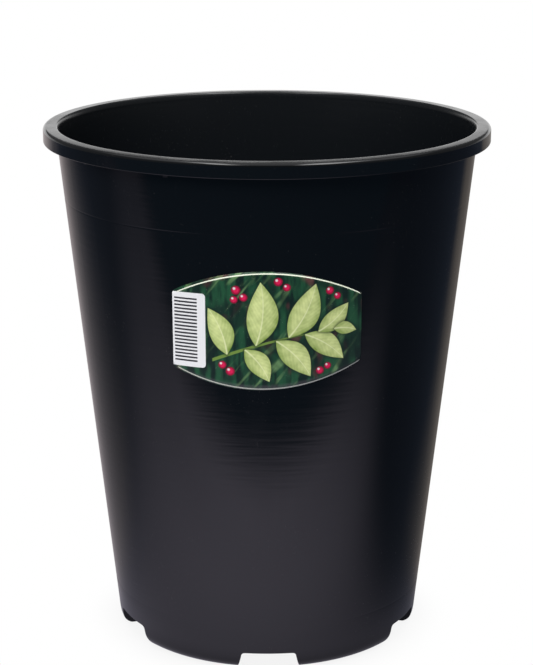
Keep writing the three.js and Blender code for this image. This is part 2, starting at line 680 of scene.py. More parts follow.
    def leaf_group(self) -> bpy.types.NodeTree:
        """Group that prints one leaf.

        Returns:
            The group: masks of the leaf, of its rib and of the soft shade under it, and its tone.
        """
        group = new_group("printed_leaf", ("Place", "Base", "Angle", "Length", "Half Width", "Bend"),
                          ("Leaf", "Rib", "Shade", "Tone"), vectors=("Place", "Base"))
        desk = Desk(group)
        given = desk.node("GroupInput").outputs
        made = desk.node("GroupOutput").inputs
        away = desk.node("VectorMath", operation="SUBTRACT")
        desk.feed(away.inputs[0], given["Place"])
        desk.feed(away.inputs[1], given["Base"])
        turn = desk.node("VectorRotate", rotation_type="Z_AXIS", invert=True)
        desk.feed(turn.inputs["Vector"], away.outputs[0])
        desk.feed(turn.inputs["Angle"], given["Angle"])
        along, across, _ = desk.parts(turn.outputs[0])
        share = desk.math("DIVIDE", along, given["Length"])
        arch = desk.times(share, desk.math("SUBTRACT", 1.0, share))
        across = desk.math("SUBTRACT", across, desk.times(arch, given["Bend"]))
        swell = desk.math("MULTIPLY_ADD", share, *self.leaf_swell)
        reach = desk.times(desk.times(arch, swell), given["Half Width"])
        off = desk.math("ABSOLUTE", across)
        room = desk.math("SUBTRACT", reach, off)
        leaf = desk.ramp(room, *self.leaf_edge)
        thick = desk.math("MULTIPLY_ADD", share, *self.rib_taper)
        rib = desk.ramp(desk.math("SUBTRACT", thick, off), -self.rib_edge, self.rib_edge)
        slanted = desk.math("SUBTRACT", along, desk.math("POWER", off, self.vein_slant))
        veins = desk.math("SINE", desk.times(slanted, self.vein_pitch))
        tone = self.leaf_tone
        for light, strength in (
            (desk.ramp(room, *self.rim_tone[:2]), self.rim_tone[2]),
            (desk.ramp(across, *self.side_tone[:2]), self.side_tone[2]),
            (share, self.tip_tone),
            (desk.ramp(veins, -1.0, 1.0), self.vein_tone),
        ):
            tone = desk.math("MULTIPLY_ADD", light, strength, tone)
        soft = desk.noise(given["Place"], self.soft_scale)
        tone = desk.math("MULTIPLY_ADD", soft, self.soft_tone, tone, clamp=True)
        desk.feed(made["Leaf"], leaf)
        desk.feed(made["Rib"], desk.times(rib, desk.times(leaf, self.rib_strength)))
        desk.feed(made["Shade"], desk.ramp(room, *self.leaf_shade))
        desk.feed(made["Tone"], tone)
        return group

    def ground(self, desk: Desk, place: Socket) -> Socket:
        """Print the soft, dark foliage behind the sprig.

        Args:
            desk: Desk of the label's material.
            place: Place on the print.

        Returns:
            The colour of the foliage.
        """
        blades = desk.noise(desk.stretched(place, self.blade_stretch), detail=3.0)
        turn = desk.node("VectorRotate", rotation_type="Z_AXIS")
        desk.feed(turn.inputs["Vector"], place)
        desk.feed(turn.inputs["Angle"], math.radians(self.leaning_turn))
        leaning = desk.noise(desk.stretched(turn.outputs[0], self.leaning_stretch))
        soft = desk.noise(place, self.dark_scale)
        warm = desk.noise(desk.stretched(place, self.warm_stretch), detail=1.0)
        base = desk.mix(desk.ramp(blades, *self.mid_blend), self.dark_ground, self.mid_ground)
        base = desk.mix(desk.ramp(warm, *self.rust_blend), base, self.rust_ground)
        base = desk.mix(desk.ramp(leaning, *self.light_blend), base, self.light_ground)
        return desk.mix(desk.ramp(soft, *self.dark_blend), base, self.dark_ground)

    def sprig(self, desk: Desk, place: Socket, under: Socket) -> Socket:
        """Print the stem and its leaves over the ground.

        Args:
            desk: Desk of the label's material.
            place: Place on the print.
            under: Colour under the sprig.

        Returns:
            The colour with the sprig.
        """
        x, y, _ = desk.parts(place)
        start, slope, sag = self.stem_rise
        sagging = desk.math("MULTIPLY_ADD", desk.times(x, x), sag, start)
        line = desk.math("MULTIPLY_ADD", x, slope, sagging)
        off = desk.apart(y, line)
        thick = desk.ramp(x, *self.stem_taper)
        ends = desk.times(desk.ramp(x, *self.stem_left), desk.ramp(x, *self.stem_right, 1.0, 0.0))
        stem = desk.times(desk.ramp(desk.math("SUBTRACT", thick, off), *self.stem_edge), ends)
        colour = desk.mix(stem, under, self.stem_colour)
        group = self.leaf_group()
        for leaf in self.leaves:
            mark = desk.node("Group")
            mark.node_tree = group
            desk.feed(mark.inputs["Place"], place)
            mark.inputs["Base"].default_value = (leaf.x, self.stem_height(leaf.x), 0)
            mark.inputs["Angle"].default_value = math.radians(leaf.angle)
            mark.inputs["Length"].default_value = leaf.length
            mark.inputs["Half Width"].default_value = leaf.width / 2
            mark.inputs["Bend"].default_value = self.leaf_bend * leaf.length * leaf.side.value
            green = desk.mix(mark.outputs["Tone"], self.leaf_colour, self.pale_leaf_colour)
            ribbed = desk.mix(mark.outputs["Rib"], green, self.rib_colour)
            colour = desk.mix(mark.outputs["Shade"], colour, self.dark_ground)
            colour = desk.mix(mark.outputs["Leaf"], colour, ribbed)
        return colour

    def up_to(self, desk: Desk, value: Socket, limit: float, edge: float) -> Socket:
        """Mask of the print up to a limit, with a soft edge of twice the given width."""
        return desk.ramp(value, limit - edge, limit + edge, 1.0, 0.0)

    def berry_marks(self, desk: Desk, place: Socket, under: Socket) -> Socket:
        """Print the berries, each shaded round its edge and with a small light spot.

        Args:
            desk: Desk of the label's material.
            place: Place on the print.
            under: Colour under the berries.

        Returns:
            The colour with the berries.
        """
        colour = under
        for berry in self.berries:
            size = berry.radius
            lift = self.berry_core * size
            off = desk.span(place, (berry.x, berry.y, 0))
            spot = desk.span(place, (berry.x - lift, berry.y + lift, 0))
            skin = desk.mix(desk.ramp(off, lift, size), self.berry_colour, self.shade_colour)
            near, far = (size * share for share in self.gleam_reach)
            gleam = desk.ramp(spot, near, far, self.gleam_strength, 0.0)
            lit = desk.mix(gleam, skin, self.white)
            mask = self.up_to(desk, off, size, self.print_edge)
            colour = desk.mix(mask, colour, lit)
        return colour

    def panel(self, desk: Desk, place: Socket, under: Socket) -> Socket:
        """Print the white panel at the left end, with evenly spaced plain bars.

        Args:
            desk: Desk of the label's material.
            place: Place on the print.
            under: Colour under the panel.

        Returns:
            The colour with the panel.
        """
        x, y, _ = desk.parts(place)
        middle = (self.panel_top + self.panel_bottom) / 2
        tall = (self.panel_top - self.panel_bottom) / 2
        past_x = desk.math("SUBTRACT", x, self.panel_right - self.panel_corner)
        over_x = desk.math("MAXIMUM", past_x, 0.0)
        off_y = desk.apart(y, middle)
        over_y = desk.math("MAXIMUM", desk.math("SUBTRACT", off_y, tall - self.panel_corner), 0.0)
        span = desk.span(desk.joined(over_x, over_y))
        panel = self.up_to(desk, span, self.panel_corner, self.print_edge)
        colour = desk.mix(panel, under, self.white)
        bars_tall = 2 * tall - self.bars_margin
        pitch = bars_tall / (self.bar_count - 1 + self.bar_share)
        start = middle - bars_tall / 2
        step = desk.math("FRACT", desk.math("DIVIDE", desk.math("SUBTRACT", y, start), pitch))
        half = self.bar_share / 2
        centred = desk.apart(step, half)
        stripe = self.up_to(desk, centred, half, self.fine_edge)
        from_left = desk.ramp(x, self.bars_left - self.print_edge, self.bars_left + self.print_edge)
        to_right = self.up_to(desk, x, self.bars_right, self.print_edge)
        within_x = desk.times(from_left, to_right)
        within_y = self.up_to(desk, off_y, bars_tall / 2, self.fine_edge)
        bars = desk.times(desk.times(stripe, within_x), within_y)
        return desk.mix(bars, colour, self.bar_colour)

    def lines(self, desk: Desk, place: Socket, under: Socket) -> Socket:
        """Print the thin light lines just inside the upper and the lower edge.

        Args:
            desk: Desk of the label's material.
            place: Place on the print.
            under: Colour under the lines.

        Returns:
            The colour with the lines.
        """
        x, _, _ = desk.parts(place)
        margin = desk.node("UVMap", uv_map="label_margin").outputs["UV"]
        above, below, _ = desk.parts(desk.stretched(margin, (self.unit, self.unit, 1.0)))
        colour = under
        for edge, (middle, slope) in ((above, self.upper_line), (below, self.lower_line)):
            wanted = desk.math("MULTIPLY_ADD", x, slope, middle)
            off = desk.apart(edge, wanted)
            line = self.up_to(desk, off, self.line_width / 2, self.line_edge)
            line = desk.times(line, desk.ramp(x, *self.line_start))
            colour = desk.mix(line, colour, self.line_colour)
        return colour

    def made(self) -> bpy.types.Material:
        """Build the material.

        Returns:
            The material.
        """
        material = bpy.data.materials.new(self.slot)
        material.use_nodes = True
        desk = Desk(material.node_tree)
        shader = material.node_tree.nodes["Principled BSDF"]
        sheet = desk.node("UVMap", uv_map="label_sheet").outputs["UV"]
        place = desk.stretched(sheet, (self.unit, self.unit, 0.0))
        colour = self.ground(desk, place)
        colour = self.sprig(desk, place, colour)
        colour = self.berry_marks(desk, place, colour)
        colour = self.panel(desk, place, colour)
        colour = self.lines(desk, place, colour)
        solid_place = desk.node("TexCoord").outputs["Object"]
        specks, rubs = self.dust.laid(desk, solid_place, self.speck_share, self.rub_share)
        rubbed = desk.times(rubs, self.mark_strength)
        marks = desk.math("MAXIMUM", specks, rubbed)
        faint = desk.times(marks, self.mark_strength)
        desk.feed(shader.inputs["Base Color"], desk.mix(faint, colour, self.dust_colour))
        cockle = desk.noise(place, self.cockle_scale)
        film = desk.ramp(cockle, *NOISE_LIMITS, self.roughness - self.roughness_spread,
                         self.roughness + self.roughness_spread)
        dusty = desk.math("MULTIPLY_ADD", marks, self.dust_roughness, film, clamp=True)
        desk.feed(shader.inputs["Roughness"], dusty)
        desk.bump(shader, cockle, self.cockle_strength, self.cockle_depth)
        return material


@dataclass(frozen=True)
class Foot:
    """One of the feet between two channels, with the columns of points that its wall shares."""

    start: float
    end: float
    columns: tuple[float, ...]
    start_shift: float
    end_shift: float


@dataclass
class NurseryPot:
    """The pot: one thin shell whose floor is raised in straight channels that leave flat feet."""

    rim_radius: float = 95 * MM
    height: float = 223 * MM
    base_radius: float = 65.8 * MM
    top_radius: float = 89.9 * MM
    wall: float = 1.3 * MM
    floor: float = 1.6 * MM
    corner_radius: float = 5.7 * MM
    corner_steps: int = 9
    low_rings: Pair = (10.4 * MM, 14 * MM)
    ring_pitch: float = 20 * MM
    rim_ring: float = 9 * MM
    rim_depth: float = 6.3 * MM
    rim_top: float = 1.6 * MM
    skirt: float = 1.5 * MM
    cove: float = 1.0 * MM
    cove_steps: int = 4
    underside_fillet: float = 0.6 * MM
    fillet_steps: int = 3
    outer_edge_radius: float = 1.4 * MM
    outer_edge_steps: int = 12
    edge_margin: float = 1.2 * MM
    skirt_lip_radius: float = 0.4 * MM
    skirt_lip_steps: int = 5
    inner_lip_width: float = 1.2 * MM
    inner_lip_depth: float = 3.0 * MM
    inner_lip_steps: int = 10
    ring_crown: float = 0.035 * MM
    ring_shares: tuple[float, ...] = (0.85, 0.7, 0.55, 0.4, 0.25, 0.1)
    groove_heights: tuple[float, ...] = (20.2 * MM, 192.7 * MM)
    groove_depth: float = 0.12 * MM
    groove_width: float = 0.9 * MM
    groove_form: tuple[Pair, ...] = ((-0.5, 0), (-0.25, 1), (0.25, 1), (0.5, 0))
    channel_angle: float = 64.3
    channel_turn: float = 0.6
    channel_depth: float = 7.8 * MM
    side_lift: float = 1.0 * MM
    lift_spread: Pair = (12.0, 50.0)
    middle_share: float = 0.6
    middle_reach: Pair = (8 * MM, 22 * MM)
    channel_half_width: float = 13 * MM
    channel_draft: float = 0.22
    channel_rounding: float = 1.6 * MM
    outer_roof_steps: int = 6
    inner_roof_steps: int = 8
    foot_corner: float = 3.2 * MM
    foot_corner_steps: int = 6
    foot_side_steps: int = 14
    pocket_fillet: float = 1.0 * MM
    drain_radius: float = 5 * MM
    drain_circle: float = 45 * MM
    centre_drain_radius: float = 7 * MM
    drain_sides: int = 40
    web_pairs: int = 9
    web_spread: float = 11.0
    web_width: float = 1.2 * MM
    web_setback: float = 1.2 * MM
    web_snap: float = 0.6
    web_clearance: float = 0.05
    sink_depth: float = 0.07 * MM
    sink_width: float = 0.55
    sink_limits: Pair = (0.2 * MM, 0.1 * MM)
    edge_rounding: float = 0.5 * MM
    rounding_steps: int = 3
    rounding_limit: float = 0.3 * MM
    sharp_angle: float = 40.0
    column_step: float = 1.5
    slack: float = 0.001 * MM
    finish: PotPlastic = field(default_factory=PotPlastic)

    def __post_init__(self) -> None:
        """Work out what the sections share, and the columns of points round the pot."""
        self.taper = (self.top_radius - self.base_radius) / self.height
        self.lean = math.atan(self.taper)
        self.skirt_inner = self.rim_radius - self.skirt
        self.rim_under = self.height - self.rim_top
        self.rim_low = self.height - self.rim_depth
        self.web_low = self.rim_low + self.web_setback
        self.spring = self.channel_depth - self.channel_rounding
        self.roof_half_width = self.half_width(self.spring) - self.channel_rounding
        side = self.channel_angle
        plain = (side - 180, -side, 0.0, side, 180 - side, 180.0)
        self.channels = [angle + self.channel_turn for angle in plain]
        self.webs = [
            (pair + 0.5) * 360 / self.web_pairs + way * self.web_spread / 2
            for pair in range(self.web_pairs)
            for way in (-1, 1)
        ]
        self.feet, self.gaps = self.shared_out_columns()

    def wall_radius(self, z: float, proud: float = 0.0) -> float:
        """Radius of the wall's outer face at a height, or of a face that stands proud of it."""
        return self.base_radius + self.taper * z + proud / math.cos(self.lean)

    def half_width(self, z: float) -> float:
        """Half the width of a channel at a height below its rounding."""
        return self.channel_half_width - self.channel_draft * z

    def web_edges(self) -> list[float]:
        """Azimuths of both faces of every web, in order between -180 and 180."""
        half = math.degrees(self.web_width / 2 / self.rim_radius)
        return sorted(wrapped(web + way * half) for web in self.webs for way in (-1, 1))

    def settled(self, azimuth: float) -> Pair:
        """Move an azimuth onto the face of a web that is close by.

        Args:
            azimuth: The azimuth.

        Returns:
            The azimuth, and how far it was moved.
        """
        turned = wrapped(azimuth)
        nearest = min(self.web_edges(), key=lambda edge: abs(edge - turned))
        shift = nearest - turned if abs(nearest - turned) < self.web_snap else 0.0
        return azimuth + shift, shift

    def filled(self, start: float, end: float) -> list[float]:
        """Space columns evenly between two azimuths, with one on each face of a web.

        Args:
            start: First azimuth.
            end: Last azimuth.

        Returns:
            The columns, with both azimuths.
        """
        clear = self.web_clearance
        faces = [edge + turn for edge in self.web_edges() for turn in (0, 360)]
        inside = [face for face in faces if start + clear < face < end - clear]
        stops = [start, *sorted(inside), end]
        columns = [start]
        for low, high in zip(stops, stops[1:]):
            steps = max(1, math.ceil((high - low) / self.column_step))
            columns += [low + (high - low) * (i + 1) / steps for i in range(steps)]
        return columns

    def shared_out_columns(self) -> tuple[list[Foot], list[list[float]]]:
        """Share the columns of points among the feet and the gaps between them.

        Returns:
            The feet in order of azimuth, each with the columns from its start to its end, and the
            columns in the gap after each foot.
        """
        half = math.degrees(math.asin(self.roof_half_width / self.wall_radius(self.channel_depth)))
        ends = self.channels[1:] + [self.channels[0] + 360]
        feet = []
        for first, second in zip(self.channels, ends):
            start, start_shift = self.settled(first + half)
            end, end_shift = self.settled(second - half)
            columns = tuple(self.filled(start, end))
            feet.append(Foot(first, second, columns, start_shift, end_shift))
        gaps = []
        for foot, following in zip(feet, feet[1:] + feet[:1]):
            to = following.columns[0] + (360 if following is feet[0] else 0)
            gaps.append(self.filled(foot.columns[-1], to)[1:-1])
        return feet, gaps

    def foot_outline(self, foot: Foot, z: float, radius: float, half: float,
                     corner: float) -> list[Vector]:
        """Closed outline of a foot at one height.

        Args:
            foot: The foot.
            z: The height.
            radius: Radius of its round outer side.
            half: Half the width of the channels beside it.
            corner: Radius of its inner corner.

        Returns:
            Points along the outer side, in along one channel, round the corner and out again.
        """
        reach = math.degrees(math.asin(half / radius))
        start, end = foot.start + reach + foot.start_shift, foot.end - reach + foot.end_shift
        low, high = foot.columns[0], foot.columns[-1]
        outer = [
            around(radius, start + (end - start) * (column - low) / (high - low), z)
            for column in foot.columns
        ]
        middle, spread = (foot.start + foot.end) / 2, (foot.end - foot.start) / 2
        centre = around((half + corner) / math.sin(math.radians(spread)), middle, z)
        sweep = 90 - spread
        corner_steps, side_steps = self.foot_corner_steps, self.foot_side_steps
        bend = [
            centre - around(corner, middle - sweep + 2 * sweep * i / corner_steps, 0)
            for i in range(corner_steps + 1)
        ]
        inward = [outer[-1].lerp(bend[0], i / side_steps) for i in range(1, side_steps)]
        outward = [bend[-1].lerp(outer[0], i / side_steps) for i in range(1, side_steps)]
        return outer + inward + bend + outward

    def lifted(self, place: Vector, low: float, high: float) -> Vector:
        """Raise a place near the base, because the side channels are deeper than the front one.

        Args:
            place: The place, as if all channels had the front one's depth.
            low: Height at which nothing is raised.
            high: Height of the front channel's roof, or of the floor over it.

        Returns:
            The place, raised by its share and kept on the taper of the wall.
        """
        radius = math.hypot(place.x, place.y)
        azimuth = math.degrees(math.atan2(abs(place.x), abs(place.y)))
        side = smooth(azimuth, *self.lift_spread)
        share = self.middle_share + (side - self.middle_share) * smooth(radius, *self.middle_reach)
        rise = self.side_lift * share * (place.z - low) / (high - low)
        spread = 1 + self.taper * rise / max(radius, self.middle_reach[0])
        return Vector((place.x * spread, place.y * spread, place.z + rise))

    def outer_levels(self) -> list[Level]:
        """Lay out the levels of the feet's outside.

        Returns:
            Height, radius and channel half width of each level, from the ground up.
        """
        centre = self.wall_radius(self.corner_radius, -self.corner_radius)
        bend = arc(centre, self.corner_radius, self.corner_radius,
                   -90, -math.degrees(self.lean), self.corner_steps)
        roof = arc(self.roof_half_width, self.spring, self.channel_rounding,
                   0, 90, self.outer_roof_steps)
        return [*((z, radius, self.half_width(z)) for radius, z in bend),
                *((z, self.wall_radius(z), across) for across, z in roof)]

    def inner_levels(self) -> list[Level]:
        """Lay out the levels of the pockets inside the feet.

        Returns:
            Height, radius and channel half width of each level, from the floor up.
        """
        inner = self.corner_radius - self.floor
        centre = self.wall_radius(self.corner_radius, -self.wall - inner)
        bend = arc(centre, self.corner_radius, inner,
                   -90, -math.degrees(self.lean), self.corner_steps)
        fillet = self.pocket_fillet
        levels = []
        for radius, z in bend:
            rise = min(max(z - self.floor, 0.0), fillet)
            spread = fillet - math.sqrt(fillet**2 - (fillet - rise) ** 2)
            levels.append((z, radius, self.half_width(z) + self.floor + spread))
        roof = arc(self.roof_half_width, self.spring, self.channel_rounding + self.floor,
                   0, 90, self.inner_roof_steps)
        return levels + [(z, self.wall_radius(z, -self.wall), across) for across, z in roof]

    def skin(self, draft: Draft, levels: list[Level], corner: float,
             inside: bool) -> tuple[list, list]:
        """Build one skin of the feet, with the plate over the channels between them.

        Args:
            draft: The mesh under construction.
            levels: Height, radius and channel half width of each level.
            corner: Radius of the feet's inner corners.
            inside: Whether this is the skin inside the pot, which faces the other way.

        Returns:
            The ring of points at the foot of the wall, and the loops round the drain holes.
        """
        foot_level, top = levels[0][0], levels[-1][0]
        tops = []
        for foot in self.feet:
            rings = [
                draft.points([
                    self.lifted(place, foot_level, top)
                    for place in self.foot_outline(foot, *level, corner)
                ])
                for level in levels
            ]
            for pair in zip(rings, rings[1:]):
                draft.bridge(*(pair[::-1] if inside else pair))
            draft.mesh.faces.new(rings[0] if inside else rings[0][::-1])
            tops.append(rings[-1])
        radius = levels[-1][1]
        ring, star = [], []
        for foot, outline, gap in zip(self.feet, tops, self.gaps):
            gap_points = draft.points([
                self.lifted(around(radius, column, top), foot_level, top) for column in gap
            ])
            wall_points = outline[: len(foot.columns)]
            ring += wall_points + gap_points
            star += [outline[0], *reversed(outline[len(foot.columns):]), wall_points[-1]]
            star += gap_points
        holes = [
            draft.points([self.lifted(place, foot_level, top) for place in loop])
            for loop in self.drain_loops(top)
        ]

        def height(x: float, y: float) -> float:
            """Height of the plate at a place in plan."""
            return self.lifted(Vector((x, y, top)), foot_level, top).z

        draft.plate([star, *holes], inside, height)
        return ring, holes

    def drain_loops(self, z: float) -> list[list[Vector]]:
        """Lay out the drain holes.

        Args:
            z: Height of their outlines.

        Returns:
            The outline of each hole, the middle one first.
        """
        spots = [(self.centre_drain_radius, Vector((0, 0, z)))]
        spots += [(self.drain_radius, around(self.drain_circle, way, z)) for way in self.channels]
        turns = [360 * i / self.drain_sides for i in range(self.drain_sides)]
        return [[spot + around(radius, turn, 0) for turn in turns] for radius, spot in spots]

    def outside_profile(self) -> Section:
        """Lay out the section of the outside.

        Returns:
            Its points, from above the channels up to the outer edge of the rim's top.
        """
        points = [(self.wall_radius(z), z) for z in self.low_rings]
        for middle in self.groove_heights:
            for step, depth in self.groove_form:
                z = middle + step * self.groove_width
                points.append((self.wall_radius(z, -depth * self.groove_depth), z))
        cove, fillet = self.cove, self.underside_fillet
        heights = (self.height - self.rim_ring, self.web_low, self.rim_under - cove)
        points += [(self.wall_radius(z), z) for z in heights]
        points += [
            (self.wall_radius(z) + cove - x, z)
            for x, z in arc(0, self.rim_under - cove, cove, 15, 90, self.cove_steps)
        ]
        points += arc(self.skirt_inner - fillet, self.rim_under - fillet, fillet,
                      90, 0, self.fillet_steps)
        points += [(self.skirt_inner, self.web_low)]
        lip = self.skirt_lip_radius
        for x, start in ((self.skirt_inner + lip, -180), (self.rim_radius - lip, -90)):
            points += arc(x, self.rim_low + lip, lip, start, start + 90, self.skirt_lip_steps)
        edge = self.outer_edge_radius
        points += [(self.rim_radius, self.height - edge - self.edge_margin)]
        crest = self.height - self.ring_crown
        points += arc(self.rim_radius - edge, crest - edge, edge, 0, 89, self.outer_edge_steps)
        return points

    def ring_profile(self) -> Section:
        """Lay out the section of the rim's top, which falls a little outwards.

        Returns:
            Its points, from the outer edge in and down round the inner lip.
        """
        wide, deep = self.inner_lip_width, self.inner_lip_depth
        low = self.height - deep
        lip = self.wall_radius(low, -self.wall) + wide
        edge = self.rim_radius - self.outer_edge_radius
        points = [
            (lip + share * (edge - lip), self.height - self.ring_crown * share**2)
            for share in self.ring_shares
        ]
        quarter = arc(0, 0, 1, 90, 180, self.inner_lip_steps)
        return points + [(lip + x * wide, low + z * deep) for x, z in quarter]

    def inside_profile(self) -> Section:
        """Lay out the section of the inside.

        Returns:
            Its points, from below the lip down to the raised floor.
        """
        top = self.height - self.rim_ring
        steps = range(int(top / self.ring_pitch), 0, -1)
        heights = (top, *[step * self.ring_pitch for step in steps], self.low_rings[-1])
        return [(self.wall_radius(z, -self.wall), z) for z in heights]

    def underside(self, section: Section) -> list[int]:
        """Find the part of the outside's section that each web closes off.

        Args:
            section: Section of the outside.

        Returns:
            Places in the section, from the wall across the rim's underside to the skirt.
        """
        low, high = self.web_low - self.slack, self.rim_under + self.slack
        reach = self.skirt_inner + self.slack
        return [i for i, (radius, z) in enumerate(section) if low <= z <= high and radius <= reach]

    def sink(self, azimuth: float, radius: float, z: float) -> float:
        """Find how far the rim's band is drawn in over a web.

        Args:
            azimuth: Azimuth of a point.
            radius: Its radius.
            z: Its height.

        Returns:
            The depth, which is 0 away from the band's outer face.
        """
        side, top = self.sink_limits
        crest = self.height - self.outer_edge_radius - top
        if radius < self.rim_radius - side or z > crest:
            return 0.0
        away = min(abs(wrapped(azimuth - web)) for web in self.webs)
        return self.sink_depth * math.exp(-((away / self.sink_width) ** 2))

    def close_webs(self, draft: Draft, rings: list[list], columns: list[float]) -> None:
        """Fill the turned-down rim at each web.

        Args:
            draft: The mesh under construction.
            rings: The rings of points from the wall, across the rim's underside, to the skirt.
            columns: Azimuth of each column of points.
        """
        edges = self.web_edges()
        turned = [wrapped(column) for column in columns]
        count = len(columns)
        nearest = [min(range(count), key=lambda i: abs(turned[i] - edge)) for edge in edges]
        for start, end in zip(nearest[::2], nearest[1::2]):
            spans = [(start + i) % count for i in range((end - start) % count)]
            doomed = set()
            for i in spans:
                for low, high in zip(rings, rings[1:]):
                    corners = {low[i], low[(i + 1) % count], high[(i + 1) % count], high[i]}
                    doomed |= {face for face in low[i].link_faces if set(face.verts) == corners}
            for i in spans:
                after = (i + 1) % count
                draft.mesh.faces.new((rings[0][i], rings[0][after], rings[-1][after], rings[-1][i]))
            draft.mesh.faces.new([ring[start] for ring in rings][::-1])
            draft.mesh.faces.new([ring[end] for ring in rings])
            bmesh.ops.delete(draft.mesh, geom=list(doomed), context="FACES")

    def build(self) -> bpy.types.Object:
        """Build the pot's mesh and dress it.

        Returns:
            The pot.
        """
        draft = Draft()
        outer_ring, outer_holes = self.skin(draft, self.outer_levels(), self.foot_corner, False)
        inner_ring, inner_holes = self.skin(draft, self.inner_levels(),
                                            self.foot_corner - self.floor, True)
        columns = []
        for foot, gap in zip(self.feet, self.gaps):
            columns += [*foot.columns, *gap]
        outside = self.outside_profile()
        section = outside + self.ring_profile() + self.inside_profile()
        rings = [
            draft.points([around(radius - self.sink(c, radius, z), c, z) for c in columns])
            for radius, z in section
        ]
        for low, high in zip([outer_ring, *rings], [*rings, inner_ring]):
            draft.bridge(low, high)
        for low, high in zip(outer_holes, inner_holes):
            draft.bridge(high, low)
        self.close_webs(draft, [rings[i] for i in self.underside(outside)], columns)
        pot = draft.finished("pot_shell")
        self.round_edges(pot)
        pot.data.materials.append(self.finish.made(self.wall_radius(0, -self.wall / 2), self.taper))
        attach(pot, ROOT)
        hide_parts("pot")
        LOG.info("pot: %d faces", len(pot.data.polygons))
        return pot

    def round_edges(self, pot: bpy.types.Object) -> None:
        """Round the sharp edges of the feet, the channels and the drain holes.

        Args:
            pot: The pot.
        """
        work = bmesh.new()
        work.from_mesh(pot.data)
        weight = work.edges.layers.float.new("bevel_weight_edge")
        limit = self.channel_depth + self.side_lift + self.floor + self.rounding_limit
        sharp = math.radians(self.sharp_angle)
        for edge in work.edges:
            low_down = max(vert.co.z for vert in edge.verts) < limit
            if low_down and edge.is_manifold and edge.calc_face_angle() > sharp:
                edge[weight] = 1.0
        work.to_mesh(pot.data)
        work.free()
        bevel = pot.modifiers.new("rounded edges", "BEVEL")
        bevel.limit_method = "WEIGHT"
        bevel.width = self.edge_rounding
        bevel.segments = self.rounding_steps
        bevel.use_clamp_overlap = False
        normals = pot.modifiers.new("flat faces stay flat", "WEIGHTED_NORMAL")
        normals.keep_sharp = True


@dataclass
class FilmLabel:
    """The barrel-shaped film label on the front of the wall."""

    pot: NurseryPot
    half_width: float = 37.7 * MM
    top: Triple = (168.5 * MM, 178.3 * MM, 167.2 * MM)
    bottom: Triple = (136 * MM, 128.3 * MM, 138.8 * MM)
    proud: float = 0.36 * MM
    thickness: float = 0.16 * MM
    corner: float = 1.3 * MM
    columns: int = 72
    rows: int = 20
    finish: LabelFilm = field(default_factory=LabelFilm)

    def edge(self, heights: Triple, x: float) -> float:
        """Height of the arc through a label edge's two ends and its middle.

        Args:
            heights: Heights at the left end, the middle and the right end.
            x: Distance to the right of the middle.

        Returns:
            The height of the edge there.
        """
        left, middle, right = heights
        rise = middle - (left + right) / 2
        radius = (self.half_width**2 + rise**2) / (2 * abs(rise))
        bulge = math.sqrt(radius**2 - x**2) - (radius - abs(rise))
        slope = (right - left) / (2 * self.half_width)
        return (left + right) / 2 + slope * x + math.copysign(bulge, rise)

    def build(self) -> bpy.types.Object:
        """Build the label's film and dress it.

        Returns:
            The label.
        """
        draft = Draft()
        places, marks = [], []
        middle = (self.top[1] + self.bottom[1]) / 2
        for i in range(self.columns + 1):
            x = -self.half_width * math.cos(math.pi * i / self.columns)
            inset = max(0.0, self.corner - (self.half_width - abs(x)))
            cut = self.corner - math.sqrt(max(0.0, self.corner**2 - inset**2))
            low, high = self.edge(self.bottom, x) + cut, self.edge(self.top, x) - cut
            for j in range(self.rows + 1):
                z = low + (high - low) * j / self.rows
                radius = self.pot.wall_radius(z, self.proud)
                turn = math.asin(x / radius)
                places.append(around(radius, math.degrees(turn), z))
                marks.append((radius * turn, z - middle, self.edge(self.top, x) - z,
                              z - self.edge(self.bottom, x)))
        verts = draft.points(places)
        sheet = draft.mesh.loops.layers.uv.new("label_sheet")
        margin = draft.mesh.loops.layers.uv.new("label_margin")
        row = self.rows + 1
        for i in range(self.columns):
            for j in range(self.rows):
                corners = (i * row + j, (i + 1) * row + j, (i + 1) * row + j + 1, i * row + j + 1)
                face = draft.mesh.faces.new([verts[k] for k in corners])
                for loop, k in zip(face.loops, corners):
                    along, up, above, below = (mark / (self.finish.unit * MM) for mark in marks[k])
                    loop[sheet].uv = (along, up)
                    loop[margin].uv = (above, below)
        label = draft.finished("label_sheet")
        solid = label.modifiers.new("film thickness", "SOLIDIFY")
        solid.thickness = self.thickness
        solid.offset = -1
        label.data.materials.append(self.finish.made())
        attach(label, ROOT)
        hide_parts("label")
        LOG.info("label: %d faces", len(label.data.polygons))
        return label


